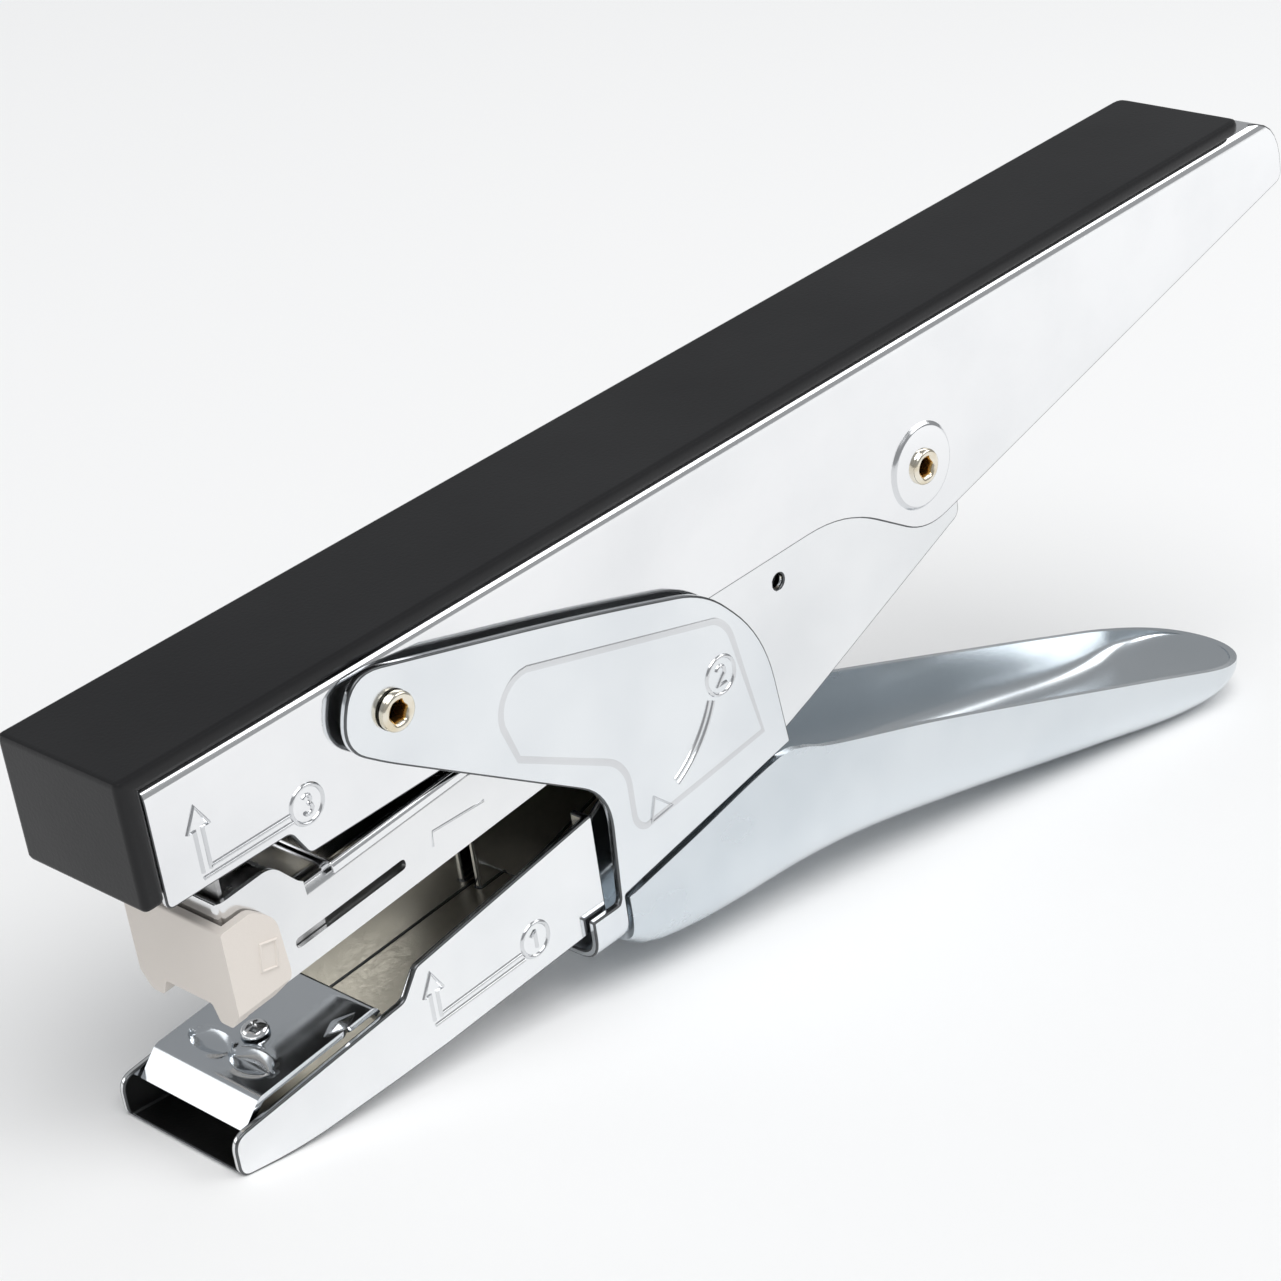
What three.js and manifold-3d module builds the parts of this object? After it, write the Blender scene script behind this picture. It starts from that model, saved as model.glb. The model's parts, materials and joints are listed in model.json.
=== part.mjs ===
// Hand plier stapler: a chromed sheet-metal tool for 26/6 staples, squeezed in one hand.
//
// The side plane is x (rearwards from the nose) and z (up, 0 at the top of the cap); y runs across the
// tool from its middle plane. The tool is drawn with its cap level. At the end the whole of it is tipped
// to the angle at which it stands by itself, on the toe of the jaw and the heel of the lower handle.
// Lengths are in millimetres, angles in degrees.
import * as THREE from "three";
import { ParametricGeometry } from "three/addons/geometries/ParametricGeometry.js";
import { mergeVertices } from "three/addons/utils/BufferGeometryUtils.js";
import Module from "manifold-3d";

const wasm = await Module();
wasm.setup();

// ---- Driving dimensions -----------------------------------------------------------------------------

const gap = 0.3; // between pieces that touch
const runningGap = 0.35; // between plates that swing past each other

// Across the tool, from the staple outwards
const stapleCrown = 12.9;
const stapleRoom = 0.1; // beside the staple, each side
const magazineSheet = 0.6;
const jawSheet = 0.9;
const housingSheet = 0.9;
const handleSheet = 1;
const washerThickness = 0.4;
const capOverhang = 0.65;

// Pivots, in the side plane
const frontPivot = { x: 35, z: -9.1 };
const rearPivot = { x: 128.3, z: -21.4 };
const rivetRadius = 1.9;
const rivetWall = 0.65;
const rivetHeadReach = 0.5; // of the head beyond the shank
const rivetHeadHeight = 0.9;
const rivetHeadEdge = 0.4;
const washerReach = 1.4; // beyond the rivet's head
const bushWall = 1;

// Housing and cap
const capLength = 202.5;
const capFront = -1;
const capThickness = 2.2;
const capNoseDepth = 16;
const capNoseThickness = 2.9;
const capEdge = 0.7;
const housingTailReach = 10.5; // behind the cap
const housingTailRound = 9;
const housingTailDepth = 12.9;
const housingDepth = 21.2;
const housingNotchDepth = 17.5;
const housingNotchEnd = 19.6;
const housingFold = 2;
const lobeDepth = 9.7; // of the housing's lobe, below the rear pivot
const lobeFront = 15.3; // where the lobe starts, in front of the rear pivot
const clipLength = 6;
const clipWidth = 5;
const clipDepth = 2.6;
const clipShares = [0.5, 0.89]; // of the cap's length, for the rear clips

// Driver
const bladeThickness = 0.6;
const bladeWidth = 12.4;
const bladeTip = 27.4; // depth of the blade's tip
const carrierSheet = 1.2;
const carrierLength = 18;
const carrierDepth = 9.2;
const leafSheet = 0.4;
const leafHalf = 3;
const leafFront = { x: 45, z: -21.6 };
const leafBend = { x: 58, round: 9 };
const leafRear = 78;

// Magazine: drawn level, then dropped at the front by magazineDrop
const magazineDrop = 4.2;
const magazineFront = 118.3; // in front of the rear pivot
const magazineBottom = 6.7; // below the rear pivot
const magazineTop = 3.2; // above the rear pivot
const magazineRound = 2.6;
const towerHeight = 7.9;
const towerLength = 8.2;
const towerSlope = 3.4; // along the magazine, behind the tower
const earReach = 5.5; // behind the rear pivot
const earRise = 2; // above the magazine's top
const earFront = { top: 6, foot: 8 }; // in front of the rear pivot
const bladeRoom = 1.3; // along the magazine, for the driver blade
const frontRound = 1.2; // on the magazine's upright front edges
const webRear = 20; // the magazine's web stops this far in front of the rear pivot
const slotStart = 8.4;
const slotLength = 17.2;
const slotHeight = 1.35;
const slotDrop = 3.15;
const coverSheet = 0.45;
const coverSkirt = 0.8; // below the magazine's top
const coverStart = 15.4;
const coverLength = 34;

// Nosepiece
const noseWall = 1.15;
const noseLean = 0.9; // how far the front leans out at its foot
const noseLength = 7.4;
const noseTop = 5.6;
const noseBottom = 6.1;
const noseFoot = 1.3;

// Rail, pusher and spring
const railSheet = 0.6;
const railInset = 0.85; // beside the rail, for the staple's leg
const railLength = 84;
const railTop = 0.7; // below the rear pivot
const railHeight = 5.4;
const railSlotWidth = 3;
const railSlotStart = 2; // behind the rail's front
const railSlotEnd = 10; // in front of the rail's rear end
const railPinInset = 4; // in front of the rail's rear end
const rodRadius = 1;
const springWire = 0.6;
const pusherLength = 9;
const pusherSheet = 0.6;
const pusherSkirt = 0.4; // thickness of the saddle's sides
const tongueLength = 4;
const springTurns = 15;

// Jaw
const jawFront = 3;
const jawFlare = 1.95; // of the jaw's front beyond its rear plates
const jawWallTop = 45.6; // depth of the low wall in front
const jawStepTop = 42.3; // depth of the wall behind its step
const jawRearTop = 38.2; // depth of the wall at its rear end
const jawNoseTop = 48.2; // depth of the wall at the nose
const jawFloor = 54.9;
const jawHeel = 53.4; // depth of the floor at the nose and at the wall's end
const jawStep = 31.2;
const jawWallEnd = 62.3;
const elbowDepth = 55.8;
const cheekRise = 7.5; // of the jaw's rear plates above the rear pivot
const cheekReach = 8.2; // of the jaw's rear plates behind the rear pivot
const cheekFront = 36; // start of their top, in front of the rear pivot
const dimple = { ahead: 27.4, below: 4.2, radius: 1 }; // a small hole, from the rear pivot
const anvilFront = 8.3;
const anvilTop = 46.1; // depth of the anvil's front edge
const anvilLength = 18.6;
const anvilSheet = 0.8;
const anvilRise = 4.4; // degrees
const anvilLip = { forward: 3.1, down: 2.7 };
const anvilRearRoll = 1.9;
const grooveLine = 3.8; // behind the anvil's front edge
const jawRivetPlace = 7.6; // behind the anvil's front edge
const jawRivetRadius = 1.75;
const jawRivetRise = 1.1;
const jawRivetBore = 1.2;
const jawRivetLength = 7.4; // below the anvil's top

// Lower handle
const seamFront = { x: 64.5, z: -50.6 }; // where the bracket's plates meet the trough
const seamRear = { x: 96.2, z: -45.4 };
const plateTop = { x: 63.8, z: -11.6, round: 12 }; // corners of the bracket's plates
const plateShoulder = { x: 84.8, z: -18.4, round: 5 };
const plateRear = { x: 94, z: -28.6, round: 7 };
const strapFront = 58.8;
const strapDepth = 57.4;
const strapRound = 3.6;
const strapSide = 5; // height of the strap's upright sides
const troughLength = 136.6;
const troughFlare = 0.4; // of the trough beyond the bracket
const troughTipLength = 17;
const rimEdge = 0.2; // upright edge of the trough's rim

// ---- Sizes that follow ------------------------------------------------------------------------------

const staplePath = stapleCrown / 2 + stapleRoom;
const magazineHalf = staplePath + magazineSheet;
const jawInner = magazineHalf + gap;
const jawOuter = jawInner + jawSheet;
const housingInner = jawOuter + runningGap;
const housingHalf = housingInner + housingSheet;
const handleInner = housingHalf + washerThickness + 2 * gap;
const handleOuter = handleInner + handleSheet;
const capHalf = housingHalf + capOverhang;
const jawHalf = jawOuter + jawFlare;
const troughHalf = handleOuter + troughFlare;
const rivetBore = rivetRadius - rivetWall;
const rivetHeadRadius = rivetRadius + rivetHeadReach;
const housingTop = -capThickness - gap;
const housingFront = capFront + capNoseThickness + gap;
const housingTail = capFront + capLength + housingTailReach;
const troughFront = seamFront.x + troughFlare;
const troughTip = troughFront + troughLength;
const strapRear = troughFront - gap;
const bladeX = rearPivot.x - magazineFront + magazineSheet + bladeRoom / 2;
const boreRadius = rivetRadius + gap;
const bushRadius = boreRadius + bushWall;
const clipPlaces = [
  bladeX + carrierLength + 1,
  ...clipShares.map((share) => capFront + share * capLength),
];

// ---- Solids -----------------------------------------------------------------------------------------

/** A closed geometry as a manifold solid. */
function solid(geometry) {
  const bare = geometry.clone();
  bare.deleteAttribute("normal");
  bare.deleteAttribute("uv");
  const merged = mergeVertices(bare, 1e-4);
  const vertProperties = new Float32Array(merged.attributes.position.array);
  const triVerts = new Uint32Array(merged.index.array);
  return new wasm.Manifold(new wasm.Mesh({ numProp: 3, vertProperties, triVerts }));
}

/** Solids joined into one. */
function join(...solids) {
  return solids.reduce((whole, next) => whole.add(next));
}

/** A manifold solid as a geometry. */
function geometryOf(made) {
  const mesh = made.getMesh();
  const geometry = new THREE.BufferGeometry();
  geometry.setAttribute("position", new THREE.BufferAttribute(mesh.vertProperties, 3));
  geometry.setIndex(new THREE.BufferAttribute(mesh.triVerts, 1));
  geometry.computeVertexNormals();
  return geometry;
}

/**
 * A closed outline through corners [across, up, fillet]. A fillet is how far it reaches from its corner;
 * two fillets that don't fit on one side share it.
 */
function outline(corners, filletSteps = 8) {
  const points = corners.flatMap(([x, y, fillet = 0], i) => {
    const here = new THREE.Vector2(x, y);
    if (fillet === 0) {
      return [here];
    }
    const neighbours = [corners.at(i - 1), corners[(i + 1) % corners.length]];
    const sides = neighbours.map(([nextX, nextY]) => new THREE.Vector2(nextX, nextY).sub(here));
    const reaches = neighbours.map(([, , nextFillet = 0], side) => {
      const share = (0.98 * sides[side].length()) / (fillet + nextFillet);
      return fillet * Math.min(1, share);
    });
    const reach = Math.min(...reaches);
    const [start, end] = sides.map((side) => side.setLength(reach).add(here));
    return new THREE.QuadraticBezierCurve(start, here, end).getPoints(filletSteps);
  });
  return new THREE.Shape(points);
}

/** A disc, or a hole of the same size. */
function disc(x, y, radius, sides = 32) {
  const points = Array.from({ length: sides }, (_, i) => {
    const angle = (i / sides) * 2 * Math.PI;
    return new THREE.Vector2(x + radius * Math.cos(angle), y + radius * Math.sin(angle));
  });
  return new THREE.Shape(points);
}

/** A side-plane shape made into a plate from y = near to y = far. */
function plate(shape, near, far) {
  const geometry = new THREE.ExtrudeGeometry(shape, { depth: far - near, bevelEnabled: false });
  return solid(geometry.rotateX(Math.PI / 2).translate(0, far, 0));
}

/** The same plate on both sides of the middle plane, from inner to outer half-width. */
function platePair(shape, inner, outer) {
  return [plate(shape, -outer, -inner), plate(shape, inner, outer)];
}

/** A full-width block with a side-plane shape. */
function block(shape, half) {
  return plate(shape, -half, half);
}

/** A plan shape (x, y) raised from z = low to z = high, its edges rounded by edge. */
function raised(shape, low, high, edge = 0) {
  const settings = {
    depth: high - low - 2 * edge,
    bevelEnabled: edge > 0,
    bevelThickness: edge,
    bevelSize: edge,
    bevelOffset: -edge,
    bevelSegments: 2,
  };
  return solid(new THREE.ExtrudeGeometry(shape, settings).translate(0, 0, low + edge));
}

/** A cross-section shape (y, z) drawn out from x = front to x = rear. */
function drawn(shape, front, rear) {
  const geometry = new THREE.ExtrudeGeometry(shape, { depth: rear - front, bevelEnabled: false });
  const toSide = new THREE.Matrix4().makeBasis(
    new THREE.Vector3(0, 1, 0),
    new THREE.Vector3(0, 0, 1),
    new THREE.Vector3(1, 0, 0),
  );
  return solid(geometry.applyMatrix4(toSide).translate(front, 0, 0));
}

/** A box between two corners. */
function box([x0, y0, z0], [x1, y1, z1]) {
  const geometry = new THREE.BoxGeometry(x1 - x0, y1 - y0, z1 - z0);
  return solid(geometry.translate((x0 + x1) / 2, (y0 + y1) / 2, (z0 + z1) / 2));
}

/** A rectangle in any plane. */
function rectangle(x0, y0, x1, y1, fillet = 0) {
  const corners = [
    [x0, y0],
    [x1, y0],
    [x1, y1],
    [x0, y1],
  ];
  return outline(corners.map((corner) => [...corner, fillet]), 4);
}

/** A solid of revolution about a line across the tool; profile points are [radius, y]. */
function turned(profile, { x, z }, segments = 32) {
  const points = profile.map(([radius, y]) => new THREE.Vector2(radius, y));
  return solid(new THREE.LatheGeometry(points, segments).translate(x, 0, z));
}

/** A round wire along a curve. */
function wire(curve, radius, steps, sides = 6) {
  const settings = { steps, extrudePath: curve, bevelEnabled: false };
  return solid(new THREE.ExtrudeGeometry(disc(0, 0, radius, sides), settings));
}

// ---- Materials and scene graph ----------------------------------------------------------------------

const finishes = {
  chrome: { color: 0xd9dcdf, roughness: 0.14, metalness: 1 },
  satinChrome: { color: 0xc4cad0, roughness: 0.26, metalness: 1 },
  mirrorChrome: { color: 0xbfc6cc, roughness: 0.06, metalness: 1 },
  blackPlastic: { color: 0x1c1c1d, roughness: 0.42, metalness: 0 },
  warmPlastic: { color: 0xd8cfc6, roughness: 0.48, metalness: 0 },
  nickelBrass: { color: 0xc9ae78, roughness: 0.22, metalness: 1 },
  steel: { color: 0xa9adb1, roughness: 0.32, metalness: 1 },
  springSteel: { color: 0x7f8388, roughness: 0.35, metalness: 1 },
};

const stapler = new THREE.Group();
const levelMagazine = new THREE.Group();
levelMagazine.position.set(rearPivot.x, 0, rearPivot.z);
levelMagazine.rotation.y = -THREE.MathUtils.degToRad(magazineDrop);
stapler.add(levelMagazine);

/** Puts a named piece into a group. */
function place(group, name, made, finish) {
  const mesh = new THREE.Mesh(geometryOf(made), new THREE.MeshStandardMaterial(finishes[finish]));
  mesh.name = name;
  group.add(mesh);
}

// ---- Upper handle -----------------------------------------------------------------------------------

/** The housing's side outline, drawn in by inset along its top and tail and left open below. */
function housingOutline() {
  const tailZ = -housingTailDepth;
  return outline([
    [housingFront, housingTop],
    [housingTail, housingTop, housingTailRound],
    [housingTail, tailZ, 1.5],
    [rearPivot.x, rearPivot.z - lobeDepth, 4.5],
    [rearPivot.x - lobeFront, -housingDepth, 7],
    [housingNotchEnd + 2, -housingDepth, 0.8],
    [housingNotchEnd, -housingNotchDepth, 0.8],
    [housingFront, -housingNotchDepth, 1],
  ]);
}

/** What the housing's channel leaves free inside. */
function housingRoom() {
  const deep = -60;
  return outline([
    [housingFront - 5, housingTop - housingSheet],
    [housingTail - housingSheet, housingTop - housingSheet, housingTailRound - housingSheet],
    [housingTail - housingSheet, deep],
    [housingFront - 5, deep],
  ]);
}

function upperHousing() {
  const section = outline([
    [-housingHalf, -60],
    [housingHalf, -60],
    [housingHalf, housingTop, housingFold],
    [-housingHalf, housingTop, housingFold],
  ]);
  let body = block(housingOutline(), housingHalf).intersect(drawn(section, -10, housingTail + 10));
  body = body.subtract(block(housingRoom(), housingInner));
  for (const pivot of [frontPivot, rearPivot]) {
    body = body.subtract(block(disc(pivot.x, pivot.z, boreRadius), housingHalf + 1));
  }
  for (const x of clipPlaces) {
    const half = clipWidth / 2 + gap;
    body = body.subtract(box([x - gap, -half, -10], [x + clipLength + gap, half, 0]));
  }
  return body;
}

function topCap() {
  const rear = capFront + capLength;
  const slab = raised(rectangle(capFront, -capHalf, rear, capHalf, 1.6), -capThickness, 0, capEdge);
  const noseRear = capFront + capNoseThickness;
  const nose = raised(rectangle(capFront, -capHalf, noseRear, capHalf, 0.9), -capNoseDepth, 0, capEdge);
  const clips = clipPlaces.map((x) =>
    box(
      [x, -clipWidth / 2, -capThickness - clipDepth],
      [x + clipLength, clipWidth / 2, -capThickness / 2],
    ),
  );
  return join(slab, nose, ...clips);
}

/** The bracket under the housing's top that the blade hangs from. */
function driverCarrier() {
  const top = housingTop - housingSheet - gap;
  const face = bladeX - bladeThickness / 2 - gap;
  const half = bladeWidth / 2;
  const flat = box([face - carrierSheet, -half, top - carrierSheet], [face + carrierLength, half, top]);
  const flange = box([face - carrierSheet, -half, top - carrierDepth], [face, half, top]);
  return join(flat, flange);
}

function driverBlade() {
  const top = housingTop - housingSheet - 2 * gap - carrierSheet;
  const half = bladeWidth / 2;
  return box([bladeX - bladeThickness / 2, -half, -bladeTip], [bladeX + bladeThickness / 2, half, top]);
}

/** A hollow eyelet rivet through the plates, its ends rolled over. */
function eyelet(pivot, half) {
  const end = half + gap + rivetHeadHeight;
  return turned(
    [
      [rivetBore, -end],
      [rivetHeadRadius - rivetHeadEdge, -end],
      [rivetHeadRadius, -end + rivetHeadEdge],
      [rivetHeadRadius, -half - gap],
      [rivetRadius, -half - gap],
      [rivetRadius, half + gap],
      [rivetHeadRadius, half + gap],
      [rivetHeadRadius, end - rivetHeadEdge],
      [rivetHeadRadius - rivetHeadEdge, end],
      [rivetBore, end],
      [rivetBore, -end],
    ],
    pivot,
  );
}

/** A flat ring between housing and handle plate. */
function washer(side) {
  const near = side * (housingHalf + gap);
  const far = near + side * washerThickness;
  const [low, high] = [Math.min(near, far), Math.max(near, far)];
  const ring = disc(frontPivot.x, frontPivot.z, rivetHeadRadius + washerReach);
  ring.holes.push(disc(frontPivot.x, frontPivot.z, boreRadius));
  return plate(ring, low, high);
}

/** The sleeve on the rear rivet, between the magazine's ears. */
function rearBush() {
  const half = staplePath - gap;
  const ring = disc(rearPivot.x, rearPivot.z, bushRadius);
  ring.holes.push(disc(rearPivot.x, rearPivot.z, boreRadius));
  return block(ring, half);
}

/** The torsion spring on the sleeve: one leg under the housing's top, the other on the jaw's web. */
function jawSpring() {
  const coilRadius = bushRadius + gap + springWire;
  const turns = 4;
  const pitch = 2 * springWire + gap;
  const start = -(turns * pitch) / 2;
  const at = (angle, y) =>
    new THREE.Vector3(
      rearPivot.x + coilRadius * Math.cos(angle),
      y,
      rearPivot.z + coilRadius * Math.sin(angle),
    );
  const steps = turns * 12;
  const upperAngle = 0.62 * Math.PI;
  const sweep = turns * 2 * Math.PI - 0.24 * Math.PI;
  const coil = Array.from({ length: steps + 1 }, (_, i) => {
    const share = i / steps;
    return at(upperAngle - share * sweep, start + share * turns * pitch);
  });
  const underClips = -capThickness - clipDepth - gap - springWire;
  const upperEnd = new THREE.Vector3(rearPivot.x - 26, start, underClips);
  const lowerEnd = new THREE.Vector3(rearPivot.x - 14, -start, rearPivot.z - 15.2);
  const path = new THREE.CatmullRomCurve3([upperEnd, ...coil, lowerEnd], false, "centripetal");
  return wire(path, springWire, steps + 24);
}

/** The leaf between the housing's top and the magazine's cover. */
function magazineSpring() {
  const top = housingTop - housingSheet - gap;
  const upper = [
    [leafFront.x, leafFront.z],
    [leafBend.x, top, leafBend.round],
    [leafRear, top],
  ];
  const lower = upper.map(([x, z, fillet]) => [x, z - leafSheet, fillet]).reverse();
  return block(outline([...upper, ...lower]), leafHalf);
}

place(stapler, "upper_housing", upperHousing(), "chrome");
place(stapler, "top_cap", topCap(), "blackPlastic");
place(stapler, "driver_carrier", driverCarrier(), "steel");
place(stapler, "driver_blade", driverBlade(), "steel");
place(stapler, "front_rivet", eyelet(frontPivot, handleOuter), "nickelBrass");
place(stapler, "rear_rivet", eyelet(rearPivot, housingHalf), "nickelBrass");
place(stapler, "front_washer_near", washer(-1), "steel");
place(stapler, "front_washer_far", washer(1), "steel");
place(stapler, "rear_bush", rearBush(), "steel");
place(stapler, "jaw_spring", jawSpring(), "springSteel");
place(stapler, "magazine_spring", magazineSpring(), "springSteel");

// ---- Magazine, level: x is measured from the rear pivot, z from its height --------------------------

const webFront = -magazineFront + magazineSheet + bladeRoom;

function magazineBody() {
  const towerRear = -magazineFront + towerLength;
  const towerFoot = towerRear + towerSlope;
  const roomFront = -magazineFront + magazineSheet;
  const roomHalf = staplePath;
  const side = outline([
    [-magazineFront, -magazineBottom],
    [earReach, -magazineBottom, 5],
    [earReach, magazineTop + earRise, 5],
    [-earFront.top, magazineTop + earRise, 1],
    [-earFront.foot, magazineTop, 1],
    [towerFoot, magazineTop, 1.6],
    [towerRear, towerHeight, 1.6],
    [-magazineFront, towerHeight, 0.5],
  ]);
  const section = outline([
    [-magazineHalf, -30],
    [magazineHalf, -30],
    [magazineHalf, magazineTop, magazineRound],
    [-magazineHalf, magazineTop, magazineRound],
  ]);
  const plan = rectangle(-magazineFront, -magazineHalf, 40, magazineHalf, frontRound);
  const whole = block(side, magazineHalf).intersect(raised(plan, -30, 30));
  const tower = whole.intersect(box([-200, -20, -30], [towerFoot, 20, 30]));
  const ears = whole.intersect(box([-webRear, -20, -30], [40, 20, 30]));
  const bar = whole.intersect(drawn(section, towerFoot - 1, 1 - webRear));
  const under = outline([
    [-roomHalf, -30],
    [roomHalf, -30],
    [roomHalf, magazineTop - magazineSheet, magazineRound - magazineSheet],
    [-roomHalf, magazineTop - magazineSheet, magazineRound - magazineSheet],
  ]);
  const slotFront = -magazineFront + slotStart;
  const slotLow = -slotDrop - slotHeight / 2;
  const slotRound = slotHeight / 2 - 0.02;
  const slot = rectangle(slotFront, slotLow, slotFront + slotLength, slotLow + slotHeight, slotRound);
  const cuts = [
    drawn(under, roomFront, 50),
    box([roomFront, -roomHalf, -30], [towerFoot, roomHalf, 30]),
    box([-webRear, -roomHalf, -30], [50, roomHalf, 30]),
    block(slot, 20),
    block(disc(0, 0, boreRadius), 20),
    block(disc(railPinX, railPinZ, rodRadius + gap), 20),
  ];
  return cuts.reduce((body, cut) => body.subtract(cut), join(tower, bar, ears));
}

const railFront = webFront + gap;
const railPinX = railFront + railLength - railPinInset;
const railPinZ = -railTop - railHeight / 2;
const railHalf = staplePath - railInset;

/** The inverted channel that the staples ride on, slotted for the pusher's tongue. */
function stapleRail() {
  const top = -railTop;
  const bottom = top - railHeight;
  const rear = railFront + railLength;
  const outer = box([railFront, -railHalf, bottom], [rear, railHalf, top]);
  const inner = railHalf - railSheet;
  const room = box([railFront + railSheet, -inner, bottom - 1], [rear + 1, inner, top - railSheet]);
  const slotHalf = railSlotWidth / 2;
  const slot = box([railFront + railSlotStart, -slotHalf, bottom], [rear - railSlotEnd, slotHalf, top + 1]);
  const pinHole = block(disc(railPinX, railPinZ, rodRadius + gap), 20);
  const rodHole = box(
    [railFront - 1, -rodRadius - gap, railPinZ - rodRadius - gap],
    [railFront + 1, rodRadius + gap, railPinZ + rodRadius + gap],
  );
  return [room, slot, pinHole, rodHole].reduce((rail, cut) => rail.subtract(cut), outer);
}

/** The pin through the magazine's walls that holds the rail's rear end. */
function railPin() {
  const half = magazineHalf - 0.1;
  return turned(
    [
      [0, -half],
      [rodRadius, -half],
      [rodRadius, half],
      [0, half],
    ],
    { x: railPinX, z: railPinZ },
    12,
  );
}

/** The rod along the rail's inside. */
function pusherRod() {
  const rear = railPinX - rodRadius - gap;
  const rod = new THREE.CylinderGeometry(rodRadius, rodRadius, rear - railFront, 10).rotateZ(Math.PI / 2);
  return solid(rod.translate((rear + railFront) / 2, 0, railPinZ));
}

/** The saddle over the rail, with a tongue through the rail's slot to the rod. */
function pusher() {
  const front = railFront + railSlotStart + gap;
  const rear = front + pusherLength;
  const innerHalf = railHalf + gap;
  const outerHalf = innerHalf + pusherSkirt;
  const top = -railTop + gap + pusherSheet;
  const bottom = -railTop - railHeight + 1;
  const saddle = box([front, -outerHalf, bottom], [rear, outerHalf, top]).subtract(
    box([front - 1, -innerHalf, bottom - 1], [rear + 1, innerHalf, -railTop + gap]),
  );
  const tongueHalf = railSlotWidth / 2 - gap;
  const tongueLow = railPinZ - rodRadius - gap - 0.5;
  const tongue = box([front, -tongueHalf, tongueLow], [front + tongueLength, tongueHalf, top]);
  const boreHalf = rodRadius + gap;
  const bore = new THREE.CylinderGeometry(boreHalf, boreHalf, 40, 12).rotateZ(Math.PI / 2);
  const guideHalf = boreHalf + pusherSheet;
  const guideTop = -railTop - railSheet - gap;
  const guide = box([front, -guideHalf, tongueLow], [front + tongueLength, guideHalf, guideTop]);
  return join(saddle, tongue, guide).subtract(solid(bore.translate(front, 0, railPinZ)));
}

/** The coil spring on the rod, from the pusher's tongue to the rail pin. */
function pusherSpring() {
  const front = railFront + railSlotStart + gap + tongueLength + gap + springWire / 2;
  const rear = railPinX - rodRadius - gap - springWire / 2;
  const coilRadius = rodRadius + gap + springWire / 2;
  const steps = springTurns * 10;
  const points = Array.from({ length: steps + 1 }, (_, i) => {
    const angle = (i / steps) * springTurns * 2 * Math.PI;
    const x = front + (i / steps) * (rear - front);
    return new THREE.Vector3(x, coilRadius * Math.cos(angle), railPinZ + coilRadius * Math.sin(angle));
  });
  return wire(new THREE.CatmullRomCurve3(points), springWire / 2, steps, 4);
}

/** The shallow inverted channel over the magazine's top that the leaf spring presses on. */
function magazineCover() {
  const front = -magazineFront + coverStart;
  const inner = magazineHalf + gap;
  const half = inner + coverSheet;
  const low = magazineTop - coverSkirt;
  const high = magazineTop + gap + coverSheet;
  const section = outline([
    [-half, low],
    [-inner, low],
    [-inner, high - coverSheet, 0.8],
    [inner, high - coverSheet, 0.8],
    [inner, low],
    [half, low],
    [half, high, 1.2],
    [-half, high, 1.2],
  ]);
  return drawn(section, front, front + coverLength);
}

/** The plastic guide round the magazine's front, with two feet astride the staple's path. */
function nosepiece() {
  const inner = magazineHalf + gap;
  const half = inner + noseWall;
  const wallRear = -magazineFront - gap;
  const front = wallRear - noseWall;
  const rear = front + noseLength;
  const side = outline([
    [front - noseLean, -noseBottom - noseFoot],
    [rear - 3, -noseBottom - noseFoot],
    [rear, -noseBottom + 0.9, 1.2],
    [rear, noseTop - 2.6, 1.6],
    [rear - 2.8, noseTop, 0.8],
    [front, noseTop, 0.4],
  ]);
  const foot = { inside: 4, tipInside: 4.9, tipOutside: 7 };
  const face = outline([
    [-half, -noseBottom + 0.8],
    [-foot.tipOutside, -noseBottom - noseFoot, 0.5],
    [-foot.tipInside, -noseBottom - noseFoot, 0.4],
    [-foot.inside, -noseBottom + 0.9, 0.4],
    [foot.inside, -noseBottom + 0.9, 0.4],
    [foot.tipInside, -noseBottom - noseFoot, 0.4],
    [foot.tipOutside, -noseBottom - noseFoot, 0.5],
    [half, -noseBottom + 0.8],
    [half, noseTop + 1],
    [-half, noseTop + 1],
  ]);
  const room = box([wallRear, -inner, -30], [rear + 10, inner, 30]);
  return block(side, half).intersect(drawn(face, front - 5, rear + 5)).subtract(room);
}

place(levelMagazine, "magazine_body", magazineBody(), "chrome");
place(levelMagazine, "staple_rail", stapleRail(), "steel");
place(levelMagazine, "rail_pin", railPin(), "steel");
place(levelMagazine, "pusher_rod", pusherRod(), "steel");
place(levelMagazine, "pusher", pusher(), "steel");
place(levelMagazine, "pusher_spring", pusherSpring(), "springSteel");
place(levelMagazine, "magazine_cover", magazineCover(), "mirrorChrome");
place(levelMagazine, "nosepiece", nosepiece(), "warmPlastic");

// ---- Jaw --------------------------------------------------------------------------------------------

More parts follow.
